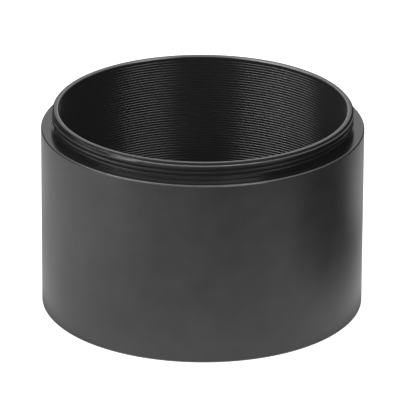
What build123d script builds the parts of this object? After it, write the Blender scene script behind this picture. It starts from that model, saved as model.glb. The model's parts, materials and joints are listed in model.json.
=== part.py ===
from build123d import *
from math import isclose
import os

# Extension tube with a 48 mm fine thread at each end, for lens cells, filters and
# camera adapters. It is one turned, bead-blasted and black-anodised aluminium
# piece: a plain barrel, a male thread on the stepped-down spigot at the top and
# the matching female thread in the foot, so tubes stack end to end.
#
# Frame: the origin is the centre of the foot's end face, and +Z runs along the
# optical axis towards the male thread. All lengths are in millimetres. Thread
# flanks are left out: each thread is a plain cylinder at its crest diameter.

# Driving dimensions
barrel_length = 30.0        # end face to shoulder, the length that the tube adds
thread_diameter = 48.0      # nominal diameter of both threads, M48
thread_pitch = 0.75         # pitch of both threads
spigot_length = 3.0         # shoulder to rim
shoulder_width = 1.75       # seat for the next tube, outside the male thread
wall_under_thread = 0.64    # metal left between the male thread's root and the bore
relief_width = 0.8          # run-out groove behind each thread
relief_clearance = 0.05     # how far each groove clears the thread's own depth
seat_relief = 0.1           # how far the male groove dips below the shoulder
socket_clearance = 0.5      # free space past a mating spigot's rim
lead_in = 0.33              # 45 degree start of the male thread
foot_chamfer = 0.3          # outer edge of the foot
edge_break = 0.2            # shoulder's outer edge and both ends of the bore

# ISO metric thread form: depths as shares of the pitch
external_depth = 0.6134 * thread_pitch
internal_depth = 0.5413 * thread_pitch

# Radii and heights that follow from the driving dimensions
male_crest = thread_diameter / 2
male_root = male_crest - external_depth
male_relief = male_root - relief_clearance
female_root = thread_diameter / 2
female_crest = female_root - internal_depth
female_relief = female_root + relief_clearance
barrel_radius = male_crest + shoulder_width
bore_radius = male_root - wall_under_thread
rim_height = barrel_length + spigot_length
socket_depth = spigot_length + socket_clearance


def disc(radius, bottom, top):
    """A solid cylinder on the tube's axis, between two heights."""
    upright = (Align.CENTER, Align.CENTER, Align.MIN)
    return Pos(0, 0, bottom) * Cylinder(radius, top - bottom, align=upright)


def break_edge(tube, radius, height, size):
    """Chamfer the round edge that has this radius at this height."""
    edges = tube.edges().filter_by(GeomType.CIRCLE).filter_by(
        lambda edge: isclose(edge.radius, radius, abs_tol=1e-4)
        and isclose(edge.arc_center.Z, height, abs_tol=1e-4)
    )
    return chamfer(edges, size)


def make_lens_tube():
    """Turn the tube: the outside first, then the bores, then the edges."""
    # Barrel, with the spigot standing on its shoulder
    tube = disc(barrel_radius, 0, barrel_length) + disc(male_crest, barrel_length, rim_height)

    # Run-out groove behind the male thread. It dips below the shoulder and stands
    # clear of the crest, so that the seat is a plain ring that a mate can lie on.
    groove_bottom = barrel_length - seat_relief
    groove_top = barrel_length + relief_width
    groove = disc(male_crest + relief_clearance, groove_bottom, groove_top)
    tube -= groove - disc(male_relief, groove_bottom, groove_top)

    # Clear bore, then the threaded socket with a groove at its inner end
    tube -= disc(bore_radius, 0, rim_height)
    tube -= disc(female_crest, 0, socket_depth)
    tube -= disc(female_relief, socket_depth - relief_width, socket_depth)

    # Thread starts: the socket's mouth opens past the thread's full depth
    tube = break_edge(tube, male_crest, rim_height, lead_in)
    tube = break_edge(tube, female_crest, 0, female_relief - female_crest)

    # Broken edges
    tube = break_edge(tube, barrel_radius, 0, foot_chamfer)
    tube = break_edge(tube, barrel_radius, barrel_length, edge_break)
    tube = break_edge(tube, bore_radius, rim_height, edge_break)
    tube = break_edge(tube, bore_radius, socket_depth, edge_break)
    return tube


lens_tube = make_lens_tube()
lens_tube.label = "lens_tube"

os.makedirs("parts", exist_ok=True)
export_step(lens_tube, "parts/lens_tube.step")
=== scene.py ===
import json
from math import cos, pi, radians, sin

import bmesh
import bpy
from mathutils import Matrix, Vector


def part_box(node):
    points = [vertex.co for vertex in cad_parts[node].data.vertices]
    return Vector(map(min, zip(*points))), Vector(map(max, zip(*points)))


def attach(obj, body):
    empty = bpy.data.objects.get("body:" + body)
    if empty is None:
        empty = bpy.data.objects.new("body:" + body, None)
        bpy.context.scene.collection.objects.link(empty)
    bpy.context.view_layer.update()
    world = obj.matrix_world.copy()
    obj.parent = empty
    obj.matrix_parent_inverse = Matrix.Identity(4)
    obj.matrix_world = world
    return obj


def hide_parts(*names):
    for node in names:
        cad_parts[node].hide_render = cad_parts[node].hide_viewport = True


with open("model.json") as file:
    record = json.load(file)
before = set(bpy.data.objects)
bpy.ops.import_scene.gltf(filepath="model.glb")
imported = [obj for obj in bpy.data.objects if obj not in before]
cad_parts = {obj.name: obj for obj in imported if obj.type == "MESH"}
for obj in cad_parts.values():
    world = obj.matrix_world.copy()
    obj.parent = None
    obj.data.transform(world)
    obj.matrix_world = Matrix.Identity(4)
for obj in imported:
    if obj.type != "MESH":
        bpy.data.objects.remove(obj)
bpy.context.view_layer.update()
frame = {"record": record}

# ---------------------------------------------------------------------------------------
# Lens tube
# An extension tube turned from one piece of aluminium, bead-blasted on the barrel and
# dyed black. A fine thread is cut on its spigot, another in its foot, and the bore is
# lined with shallow thread-like grooves that keep stray light from glancing through.
# ---------------------------------------------------------------------------------------

MM = 0.001

# Sizes that the frame knows. The barrel's radius is its shortest reach, so that the round
# barrel stays inside the box of the faceted solid.
mounts = {mount["name"]: mount for mount in frame["record"]["mounts"]}
foot_corner, rim_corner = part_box("lens_tube")
barrel_radius = min(rim_corner.x, rim_corner.y, -foot_corner.x, -foot_corner.y)
rim_height = rim_corner.z
shoulder_height = mounts["shoulder_face"]["pos_m"][2]
male_crest = mounts["male_thread"]["dims"]["r_mm"] * MM
female_crest = mounts["female_thread"]["dims"]["r_mm"] * MM
bore_radius = mounts["bore"]["dims"]["r_mm"] * MM
spigot_length = rim_height - shoulder_height

# Thread form: M48 x 0.75, right-handed, with a relief groove behind each thread. The depths
# are the metric thread's usual shares of its pitch.
thread_pitch = 0.75 * MM
male_depth = 0.6134 * thread_pitch
female_depth = 0.5413 * thread_pitch
narrow_flat = 1 / 8               # flats along the thread, as shares of its pitch
wide_flat = 1 / 4
first_groove_drop = 0.34 * MM     # from the rim to the first groove, where the thread starts
gentle_start = 0.12               # climb over which a first groove deepens, in pitches
quick_start = 0.04
relief_width = 0.8 * MM
relief_clearance = 0.05 * MM
male_relief = male_crest - male_depth - relief_clearance
female_relief = male_crest + relief_clearance
socket_depth = spigot_length + 0.5 * MM

# Chamfers and edges
lead_in = 0.33 * MM
lead_slope = 0.87                 # how far the lead-in goes in for each step up
foot_chamfer = 0.3 * MM
edge_break = 0.2 * MM
shoulder_bevel = 0.6 * edge_break
corner_radius = 0.05 * MM
thread_corner = 0.12 * MM         # how softly a thread's crest meets its chamfer
seat_groove_radius = male_crest + relief_clearance
seat_groove_depth = 0.1 * MM
seat_corner = 0.4 * corner_radius

# Light-trap grooves in the bore: plain V cuts with a narrow land between them
baffle_pitch = 0.44 * MM
baffle_depth = 0.19 * MM
baffle_land = 1 / 3               # share of the pitch
baffle_corner = 0.02 * MM
baffle_start = 0.55 * baffle_pitch

facets = 240                      # flats round the tube
thread_rows = 16                  # rows of faces in one pitch
baffle_rows = 3
seam_angle = radians(250)         # where the male thread starts, left of the front
crease_angle = radians(28)        # sharper edges than this stay sharp
weld = 0.5e-6                     # vertices closer than this are one


class Wire:
    """A socket in a node tree. Sums on wires add Math nodes; with no socket it is the tree."""

    def __init__(self, tree, socket=None):
        self.tree = tree
        self.socket = socket

    def node(self, kind, inputs=None, output=0, stops=None, **settings):
        """Add a node: settings first, then the value or wire of each socket."""
        made = self.tree.nodes.new(kind)
        for name, value in settings.items():
            setattr(made, name, value)
        if stops:
            ramp = made.color_ramp.elements
            while len(ramp) < len(stops):
                ramp.new(1.0)
            for element, (position, grey) in zip(ramp, stops):
                element.position = position
                element.color = (grey, grey, grey, 1.0)
        for key, value in (inputs or {}).items():
            if isinstance(value, Wire):
                self.tree.links.new(value.socket, made.inputs[key])
            else:
                made.inputs[key].default_value = value
        return Wire(self.tree, made.outputs[output] if made.outputs else None)

    def math(self, operation, *values):
        """A Math node of this wire and up to two more values."""
        inputs = dict(enumerate((self, *values)))
        return self.node("ShaderNodeMath", inputs, operation=operation)

    def __add__(self, other):
        return self.math("ADD", other)

    def __sub__(self, other):
        return self.math("SUBTRACT", other)

    def __mul__(self, other):
        return self.math("MULTIPLY", other)

    def __truediv__(self, other):
        return self.math("DIVIDE", other)

    def __rsub__(self, other):
        return self.node("ShaderNodeMath", {0: other, 1: self}, operation="SUBTRACT")

    def __rtruediv__(self, other):
        return self.node("ShaderNodeMath", {0: other, 1: self}, operation="DIVIDE")

    __radd__ = __add__
    __rmul__ = __mul__

    def clamp(self):
        """The wire's value held between 0 and 1."""
        return self.math("MINIMUM", 1.0).math("MAXIMUM", 0.0)

    def axis(self, name):
        """The X, Y or Z of a vector wire."""
        return self.node("ShaderNodeSeparateXYZ", {0: self}, output=name)

    def stretched(self, x, y, z):
        """A vector wire with each axis scaled."""
        return self.node("ShaderNodeVectorMath", {0: self, 1: (x, y, z)}, operation="MULTIPLY")

    def read_off(self, *stops):
        """The grey level at this position on a ramp of (position, grey) stops."""
        ramp = self.node("ShaderNodeValToRGB", {"Fac": self}, stops=stops)
        return self.node("ShaderNodeRGBToBW", {"Color": ramp})


def thread_band_tree():
    """Node tree for one threaded band: a sleeve of rows that climb with the helix.

    Rows are held between the band's bottom and top, so the thread is cut off square
    there, and the first and last rows are plain rings that the turned faces weld to.
    """
    group = bpy.data.node_groups.new("thread_band", "GeometryNodeTree")
    lengths = ("Crest radius", "Groove depth", "Pitch", "Bottom", "Top", "First groove",
               "Run-out", "Bottom ring", "Top ring", "Widest cone", "Narrowest cone", "Corner")
    shares = ("Crest share", "Root share", "Seam angle", "Cone slope")
    for name in lengths + shares:
        group.interface.new_socket(name, in_out="INPUT", socket_type="NodeSocketFloat")
    for name in ("Rows per turn", "Facets"):
        group.interface.new_socket(name, in_out="INPUT", socket_type="NodeSocketInt")
    group.interface.new_socket("Material", in_out="INPUT", socket_type="NodeSocketMaterial")
    group.interface.new_socket("Band", in_out="OUTPUT", socket_type="NodeSocketGeometry")

    tree = Wire(group)
    source = group.nodes.new("NodeGroupInput")
    size = {socket.name: Wire(group, socket) for socket in source.outputs if socket.name}
    pitch, bottom, top = size["Pitch"], size["Bottom"], size["Top"]
    first, facets_round = size["First groove"], size["Facets"]

    # Rows start a full turn below the band, in step with the grooves, and there is a spare
    # one at each end for the plain rings
    step = pitch / size["Rows per turn"]
    turns_below = ((first - bottom + pitch) / pitch).math("CEIL")
    lowest_row = first - turns_below * pitch
    rows = ((top - lowest_row) / step).math("CEIL") + 3
    grid = tree.node("GeometryNodeMeshGrid", {"Vertices X": facets_round + 1, "Vertices Y": rows})

    index = tree.node("GeometryNodeInputIndex")
    column = (index / rows).math("FLOOR")
    row = index - column * rows
    turn = column / facets_round
    climbed = lowest_row + (row - 1) * step + pitch * turn
    height = climbed.math("MAXIMUM", bottom).math("MINIMUM", top)

    # Distance from the nearest groove's centre line, in pitches, gives the thread's form
    helix = (height - first) / pitch - turn
    offset = helix - helix.math("ROUND")
    groove_height = height - offset * pitch
    run_out = ((first - groove_height) / size["Run-out"]).clamp()
    crest_edge = 0.5 - size["Crest share"] / 2
    flank = crest_edge - size["Root share"] / 2
    cut = ((crest_edge - offset.math("ABSOLUTE")) / flank).clamp() * run_out
    threaded = size["Crest radius"] + size["Groove depth"] * cut

    # Chamfers: two cones that the band stays inside and outside of
    cone = height * size["Cone slope"]
    narrowed = threaded.math("SMOOTH_MIN", size["Widest cone"] - cone, size["Corner"])
    coned = narrowed.math("SMOOTH_MAX", size["Narrowest cone"] - cone, size["Corner"])

    # End rings
    at_bottom = row.math("LESS_THAN", 0.5)
    at_top = row.math("GREATER_THAN", rows - 1.5)
    in_band = 1 - at_bottom - at_top
    radius = coned * in_band + size["Bottom ring"] * at_bottom + size["Top ring"] * at_top

    angle = size["Seam angle"] + turn * (2 * pi)
    place = tree.node("ShaderNodeCombineXYZ", {
        "X": radius * angle.math("COSINE"),
        "Y": radius * angle.math("SINE"),
        "Z": height,
    })
    sleeve = tree.node("GeometryNodeSetPosition", {"Geometry": grid, "Position": place})
    welded = tree.node("GeometryNodeMergeByDistance", {"Geometry": sleeve, "Distance": weld})
    plain = tree.node("GeometryNodeRealizeInstances", {"Geometry": welded})
    dressed = tree.node("GeometryNodeSetMaterial", {"Geometry": plain, "Material": size["Material"]})
    tree.node("NodeGroupOutput", {"Band": dressed})
    return group


def cut_band(tree, sizes):
    """Run the thread tree with these sizes and return the band as a plain mesh."""
    blank = bpy.data.objects.new("thread_blank", bpy.data.meshes.new("thread_blank"))
    bpy.context.scene.collection.objects.link(blank)
    modifier = blank.modifiers.new("thread_band", "NODES")
    modifier.node_group = tree
    sockets = {item.name: item.identifier for item in tree.interface.items_tree
               if item.in_out == "INPUT"}
    for name, value in sizes.items():
        modifier[sockets[name]] = value
    graph = bpy.context.evaluated_depsgraph_get()
    mesh = bpy.data.meshes.new_from_object(blank.evaluated_get(graph))
    bpy.data.objects.remove(blank)
    return mesh


def rounded(corners, steps=5):
    """A section line with its sharp corners rounded: corners are (radius, height, size)."""
    line = []
    for before, corner, after in zip([None] + corners[:-1], corners, corners[1:] + [None]):
        tip = Vector(corner[:2])
        if not corner[2] or before is None or after is None:
            line.append(tip)
            continue
        start = tip + (Vector(before[:2]) - tip).normalized() * corner[2]
        end = tip + (Vector(after[:2]) - tip).normalized() * corner[2]
        for count in range(steps + 1):
            share = count / steps
            first_leg = start.lerp(tip, share)
            second_leg = tip.lerp(end, share)
            line.append(first_leg.lerp(second_leg, share))
    return line


def turn_faces(shape, line):
    """Add the faces that a section line sweeps round the axis."""
    rings = []
    for radius, height in line:
        ring = []
        for count in range(facets):
            angle = seam_angle + 2 * pi * count / facets
            ring.append(shape.verts.new((radius * cos(angle), radius * sin(angle), height)))
        rings.append(ring)
    for lower, upper in zip(rings, rings[1:]):
        for count in range(facets):
            after = (count + 1) % facets
            shape.faces.new((lower[count], lower[after], upper[after], upper[count]))


# Section lines of the plain turned faces, each from one thread to the next
outside = rounded([
    (female_relief, 0, 0),
    (barrel_radius - foot_chamfer, 0, corner_radius),
    (barrel_radius, foot_chamfer, corner_radius),
    (barrel_radius, shoulder_height - edge_break, corner_radius),
    (barrel_radius - shoulder_bevel, shoulder_height, corner_radius),
    (seat_groove_radius, shoulder_height, seat_corner),
    (seat_groove_radius, shoulder_height - seat_groove_depth, 0),
    (male_relief, shoulder_height - seat_groove_depth, corner_radius),
    (male_relief, shoulder_height + relief_width, 0),
])
rim = rounded([
    (male_crest - lead_in, rim_height, 0),
    (bore_radius + edge_break, rim_height, corner_radius),
    (bore_radius, rim_height - edge_break, 0),
])
socket = rounded([
    (bore_radius, socket_depth + edge_break, 0),
    (bore_radius + edge_break, socket_depth, corner_radius),
    (female_relief, socket_depth, 0),
    (female_relief, socket_depth - relief_width, 0),
])

black_anodised = bpy.data.materials.new("black_anodising")

# What the bands share. A cone a metre wide or of no width chamfers nothing.
band_tree = thread_band_tree()
shared = {
    "Seam angle": seam_angle,
    "Facets": facets,
    "Corner": thread_corner,
    "Cone slope": 1.0,
    "Widest cone": 1.0,
    "Narrowest cone": 0.0,
    "Root share": narrow_flat,
    "Rows per turn": thread_rows,
    "Material": black_anodised,
}
male_band = cut_band(band_tree, shared | {
    "Crest radius": male_crest,
    "Groove depth": -male_depth,
    "Pitch": thread_pitch,
    "Bottom": shoulder_height + relief_width,
    "Top": rim_height,
    "First groove": rim_height - first_groove_drop,
    "Run-out": gentle_start * thread_pitch,
    "Bottom ring": male_relief,
    "Top ring": male_crest - lead_in,
    "Widest cone": male_crest - lead_in + rim_height * lead_slope,
    "Cone slope": lead_slope,
    "Crest share": narrow_flat,
})
female_band = cut_band(band_tree, shared | {
    "Crest radius": female_crest,
    "Groove depth": female_depth,
    "Pitch": thread_pitch,
    "Bottom": 0.0,
    "Top": socket_depth - relief_width,
    "First groove": socket_depth,
    "Run-out": quick_start * thread_pitch,
    "Bottom ring": female_relief,
    "Top ring": female_relief,
    "Narrowest cone": female_relief,
    "Crest share": wide_flat,
})
baffle_band = cut_band(band_tree, shared | {
    "Crest radius": bore_radius,
    "Groove depth": baffle_depth,
    "Pitch": baffle_pitch,
    "Bottom": socket_depth + edge_break,
    "Top": rim_height - edge_break,
    "First groove": rim_height - edge_break - baffle_start,
    "Corner": baffle_corner,
    "Run-out": quick_start * baffle_pitch,
    "Bottom ring": bore_radius,
    "Top ring": bore_radius,
    "Crest share": baffle_land,
    "Root share": 0.0,
    "Rows per turn": baffle_rows,
})

shape = bmesh.new()
for band in (male_band, female_band, baffle_band):
    shape.from_mesh(band)
for line in (outside, rim, socket):
    turn_faces(shape, line)
bmesh.ops.remove_doubles(shape, verts=shape.verts, dist=weld)
bmesh.ops.recalc_face_normals(shape, faces=shape.faces)
for face in shape.faces:
    face.smooth = True
tube_mesh = bpy.data.meshes.new("lens_tube_turned")
shape.to_mesh(tube_mesh)
shape.free()
tube_mesh.materials.clear()
tube_mesh.materials.append(black_anodised)
tube_mesh.set_sharp_from_angle(angle=crease_angle)
lens_tube = bpy.data.objects.new("lens_tube_turned", tube_mesh)
bpy.context.scene.collection.objects.link(lens_tube)

# Black dyed anodising: a hard clear oxide over dye, a little cloudy on the blasted barrel.
# The turned faces keep the marks of the tool. The edges are painted paler, partly as worn dye and
# partly as painted highlight, and the bore is painted a touch lighter to brighten its dim inside.
barrel_dye = (0.014, 0.014, 0.0145, 1.0)
cloudy_dye = (0.033, 0.033, 0.0335, 1.0)
turned_dye = (0.017, 0.017, 0.0175, 1.0)
# Painted light: the bore is a touch lighter than the other turned faces, to brighten its dim inside
bore_painted_lighter = (0.021, 0.021, 0.0215, 1.0)
# Paler edges: worn dye and painted highlight
wear_and_highlight_colour = (0.18, 0.18, 0.185, 1.0)
oxide_index = 1.6
turned_roughness = 0.22
blasting = 0.13                   # what blasting adds to the roughness
cloudiness = 0.05                 # how much the roughness varies with the clouds
cloud_size = 4 * MM
grain_size = 0.09 * MM
tool_mark = 0.05 * MM
tool_mark_share = 0.3             # height of a tool mark, as a share of the grain's
grain_depth = 0.012 * MM
grain_strength = 0.25
blast_margin = 0.05 * MM          # from here out to the barrel's skin the blasting shows
blast_fade = 0.03 * MM
bore_reach = bore_radius + 1.1 * baffle_depth   # just past the grooves' roots
pale_edge_width = 0.20 * MM              # width of a pale edge, worn and painted as a highlight
pale_crest_width = 0.11 * MM
shoulder_highlight_strength = 0.85              # how pale each edge is painted, as wear and as highlight
rim_wear_and_highlight = 0.95
crest_wear_and_highlight = 0.85
patch_size = 2.5 * MM
least_paleness = 0.4                  # share of the paleness left between the strongest patches
patch_gain = 1.2
front_gain = 1.6                  # how fast the shoulder's painted highlight comes in towards the front
front_start = 0.2
cloud_gain = 1.6                  # contrast of the clouds in the barrel's dye
cloud_start = 0.3

black_anodised.use_nodes = True
black_anodised.node_tree.nodes.clear()
finish = Wire(black_anodised.node_tree)
place = finish.node("ShaderNodeTexCoord", output="Object")
east = place.axis("X")
north = place.axis("Y")
level = place.axis("Z")
from_axis = (east * east + north * north).math("SQRT")
blasted = ((from_axis - (barrel_radius - blast_margin)) / blast_fade).clamp()
in_bore = from_axis.math("LESS_THAN", bore_reach)


def speckle(where, size, detail=2.0, roughness=0.5):
    """Noise with specks of about this size."""
    return finish.node("ShaderNodeTexNoise", {
        "Vector": where, "Scale": 1 / size, "Detail": detail, "Roughness": roughness,
    }, output="Fac")


def mixed(share, below, above):
    """One colour over another."""
    return finish.node("ShaderNodeMix", {"Factor": share, "A": below, "B": above},
                       output="Result", data_type="RGBA")


def edge_wear_and_highlight(radius, height, width):
    """Mask of the edge at this radius and height, painted paler as worn dye and as highlight."""
    out = from_axis - radius
    up = level - height
    return (2 - (out * out + up * up).math("SQRT") / (width / 2)).clamp()


grain = speckle(place, grain_size, roughness=0.6)
cloud = speckle(place, cloud_size, detail=5.0, roughness=0.6)
patches = speckle(place, patch_size)
marks = speckle(finish.node("ShaderNodeCombineXYZ", {"X": from_axis, "Y": level}), tool_mark)
bump = finish.node("ShaderNodeBump", {
    "Strength": grain_strength,
    "Distance": grain_depth,
    "Height": grain * blasted + marks * (1 - blasted) * tool_mark_share,
})
roughness = turned_roughness + blasted * blasting + (cloud - 0.5) * cloudiness

# The shoulder's edge gets a painted highlight at the front only. The rim and the crest are painted
# paler as worn dye and as highlight, and every pale edge comes and goes in patches
to_front = (north / barrel_radius * -front_gain - front_start).clamp()
shoulder_highlight = edge_wear_and_highlight(barrel_radius - edge_break, shoulder_height, pale_edge_width) * to_front
rim_pale_edge = edge_wear_and_highlight(bore_radius + edge_break, rim_height, pale_edge_width)
crest_line = edge_wear_and_highlight(male_crest, rim_height - lead_in / lead_slope, pale_crest_width)
wear_and_highlight = (shoulder_highlight * shoulder_highlight_strength).math("MAXIMUM", rim_pale_edge * rim_wear_and_highlight)
wear_and_highlight = wear_and_highlight.math("MAXIMUM", crest_line * crest_wear_and_highlight) * (least_paleness + patches * patch_gain).clamp()

barrel_colour = mixed((cloud * cloud_gain - cloud_start).clamp(), barrel_dye, cloudy_dye)
turned_colour = mixed(in_bore, turned_dye, bore_painted_lighter)
colour = mixed(wear_and_highlight, mixed(blasted, turned_colour, barrel_colour), wear_and_highlight_colour)
shader = finish.node("ShaderNodeBsdfPrincipled", {
    "Base Color": colour,
    "Roughness": roughness,
    "Normal": bump,
    "IOR": oxide_index,
})
finish.node("ShaderNodeOutputMaterial", {"Surface": shader})

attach(lens_tube, "root")
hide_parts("lens_tube")

# ---------------------------------------------------------------------------------------
# Studio
# The tube stands on a white table before a white backdrop, and the camera sees both as
# plain white. Its gloss sees eight softboxes and a table that glows in painted patches of light
# and shade: brightest at the left, with a painted dark patch to the right of the front.
# ---------------------------------------------------------------------------------------

white = (1.0, 1.0, 1.0, 1.0)
room_light = 0.05

backdrop = bpy.data.worlds.new("backdrop")
bpy.context.scene.world = backdrop
backdrop.use_nodes = True
backdrop.node_tree.nodes.clear()
room = Wire(backdrop.node_tree)
seen = room.node("ShaderNodeLightPath", output="Is Camera Ray")
shown = room.node("ShaderNodeBackground", {"Color": white, "Strength": 1.0})
dim = room.node("ShaderNodeBackground", {"Color": white, "Strength": room_light})
room.node("ShaderNodeOutputWorld", {
    "Surface": room.node("ShaderNodeMixShader", {0: seen, 1: dim, 2: shown}),
})

# Table: middles of the patches of painted light and shade that the tube's gloss sees on it,
# and how far each reaches
table_half = 3.0                  # metres
table_white = (0.8, 0.8, 0.8, 1.0)
table_glow = 0.9                  # lifts the table to white for the camera
tube_middle = (0.0, 0.0, 0.0)
ring_reach = 200 * MM
ring_squeeze = 1.25               # the ring is narrower from side to side
pool_middle = (-92 * MM, -22 * MM, 0.0)
pool_reach = 200 * MM
# Painted shade: a dark patch on the table to the right of the front
dark_patch_middle = (88 * MM, -1 * MM, 0.0)
dark_patch_reach = 66 * MM
beam_bearing = radians(47)        # 0 is the front, 90 degrees the right
beam_half_width = radians(20)
back_left_middle = (-52 * MM, 50 * MM, 0.0)
back_right_middle = (55 * MM, 50 * MM, 0.0)
back_reach = 42 * MM
shade_reach = 40 * MM
shade_squeeze = 0.9               # the shade under the tube is wider from side to side
soft_join = 0.2                   # how softly the pool meets the ring

table_paint = bpy.data.materials.new("table_paint")
table_paint.use_nodes = True
table_paint.node_tree.nodes.clear()
paint = Wire(table_paint.node_tree)
seen = paint.node("ShaderNodeLightPath", output="Is Camera Ray")
mirrored = (paint.node("ShaderNodeLightPath", output="Is Glossy Ray")
            + paint.node("ShaderNodeLightPath", output="Is Transmission Ray")).clamp()
spot = paint.node("ShaderNodeTexCoord", output="Object")


def patch(where, middle, reach, *stops):
    """A round patch on the table: its level at shares of its reach from its middle."""
    distance = paint.node("ShaderNodeVectorMath", {0: where, 1: middle}, output="Value",
                          operation="DISTANCE")
    return (distance / reach).read_off(*stops)


# Painted light and shade on the table, seen only in reflections: a bright ring round the tube, a
# pool of light at the left, a dark patch at the right, a beam to the front right and two patches
# behind
ring = patch(spot.stretched(ring_squeeze, 1.0, 1.0), tube_middle, ring_reach,
             (0.0, 1.0), (0.15, 1.0), (0.18, 0.93), (0.24, 0.8), (0.34, 0.5), (0.55, 0.35),
             (1.0, 0.05))
pool = patch(spot, pool_middle, pool_reach,
             (0.0, 1.0), (0.2, 1.0), (0.27, 0.9), (0.34, 0.72), (0.55, 0.52), (0.75, 0.1),
             (1.0, 0.0))
dark_patch = patch(spot, dark_patch_middle, dark_patch_reach, (0.0, 0.0), (0.45, 0.0), (0.85, 1.0))
bearing = spot.axis("X").math("ARCTAN2", spot.axis("Y") * -1)
off_beam = (bearing - beam_bearing).math("ABSOLUTE") / beam_half_width
beam = off_beam.read_off((0.0, 0.29), (0.5, 0.24), (1.0, 0.0)) * patch(
    spot, tube_middle, ring_reach, (0.13, 0.1), (0.3, 1.0), (0.6, 0.8), (1.0, 0.0))
back_left = patch(spot, back_left_middle, back_reach, (0.0, 1.0), (0.5, 0.85), (1.0, 0.0))
back_right = patch(spot, back_right_middle, back_reach, (0.0, 1.0), (0.5, 0.85), (1.0, 0.0))
# Painted shade: the tube's contact shade on the table, and under its bore
shade = patch(spot.stretched(shade_squeeze, 1.0, 1.0), tube_middle, shade_reach,
              (0.0, 0.02), (0.55, 0.02), (0.65, 1.0))
painted_table_light = (ring * dark_patch + beam).math("SMOOTH_MAX", pool, soft_join)
painted_table_light = painted_table_light.math("MAXIMUM", back_left).math("MAXIMUM", back_right) * shade

matt = paint.node("ShaderNodeBsdfDiffuse", {"Color": table_white})
glow = paint.node("ShaderNodeEmission", {"Color": white, "Strength": table_glow})
to_camera = paint.node("ShaderNodeAddShader", {0: matt, 1: glow})
# Painted light: the table's patches glow only for reflections
to_gloss = paint.node("ShaderNodeEmission", {"Color": painted_table_light, "Strength": 1.0})
to_others = paint.node("ShaderNodeMixShader", {0: mirrored, 1: matt, 2: to_gloss})
paint.node("ShaderNodeOutputMaterial", {
    "Surface": paint.node("ShaderNodeMixShader", {0: seen, 1: to_others, 2: to_camera}),
})

table_mesh = bpy.data.meshes.new("table")
table_mesh.from_pydata(
    [(x * table_half, y * table_half, 0.0) for x, y in ((-1, -1), (1, -1), (1, 1), (-1, 1))],
    [], [(0, 1, 2, 3)],
)
table_mesh.materials.append(table_paint)
table = bpy.data.objects.new("table", table_mesh)
bpy.context.scene.collection.objects.link(table)


def softbox(name, bearing, elevation, distance, width, height, brightness):
    """A softbox aimed at the middle of the tube; bearing 0 is the front, 90 the right.

    Angles are in degrees, lengths in metres, and brightness is what a mirror would show.
    """
    lamp = bpy.data.lights.new(name, "AREA")
    lamp.shape = "RECTANGLE"
    lamp.size = width
    lamp.size_y = height
    lamp.energy = brightness * pi * width * height
    box = bpy.data.objects.new(name, lamp)
    box.visible_camera = False
    bearing = radians(bearing)
    elevation = radians(elevation)
    flat = distance * cos(elevation)
    middle = Vector((0.0, 0.0, rim_height / 2))
    box.location = middle + Vector((
        flat * sin(bearing), -flat * cos(bearing), distance * sin(elevation),
    ))
    box.rotation_euler = (box.location - middle).to_track_quat("Z", "Y").to_euler()
    bpy.context.scene.collection.objects.link(box)


# The high ones pick out the grooves in the bore, those at the front the rim and the spigot
softbox("high_left", -92, 66, 0.5, 0.18, 0.16, 6.5)
softbox("back_left", -111, 52, 0.5, 0.18, 0.16, 3.5)
softbox("high_right", 88, 68, 0.5, 0.20, 0.15, 4.3)
softbox("front_left", -45, 29, 0.55, 0.56, 0.19, 2.4)
softbox("front", 0, 29, 0.55, 0.28, 0.19, 2.5)
softbox("front_right", 30, 30, 0.55, 0.28, 0.19, 4.4)
softbox("low_left", -66, 8, 0.55, 0.36, 0.20, 3.8)
softbox("behind", 180, 21, 0.9, 0.70, 0.50, 0.8)

# Camera: a long lens, so that the barrel's sides stay nearly parallel
camera_distance = 815.3 * MM
camera_elevation = radians(22.4)
camera_roll = radians(0.3)
aim = Vector((-0.37 * MM, 0.0, 17.09 * MM))
camera_data = bpy.data.cameras.new("camera")
camera_data.lens = 458.3
camera_data.sensor_width = 36.0
camera_data.clip_start = 0.05
camera_data.clip_end = 20.0
camera = bpy.data.objects.new("camera", camera_data)
camera.location = (
    0.0,
    -camera_distance * cos(camera_elevation),
    aim.z + camera_distance * sin(camera_elevation),
)
look = (camera.location - aim).to_track_quat("Z", "Y").to_matrix()
camera.rotation_euler = (look @ Matrix.Rotation(camera_roll, 3, "Z")).to_euler()
bpy.context.scene.collection.objects.link(camera)
bpy.context.scene.camera = camera
bpy.context.scene.view_settings.view_transform = "Standard"
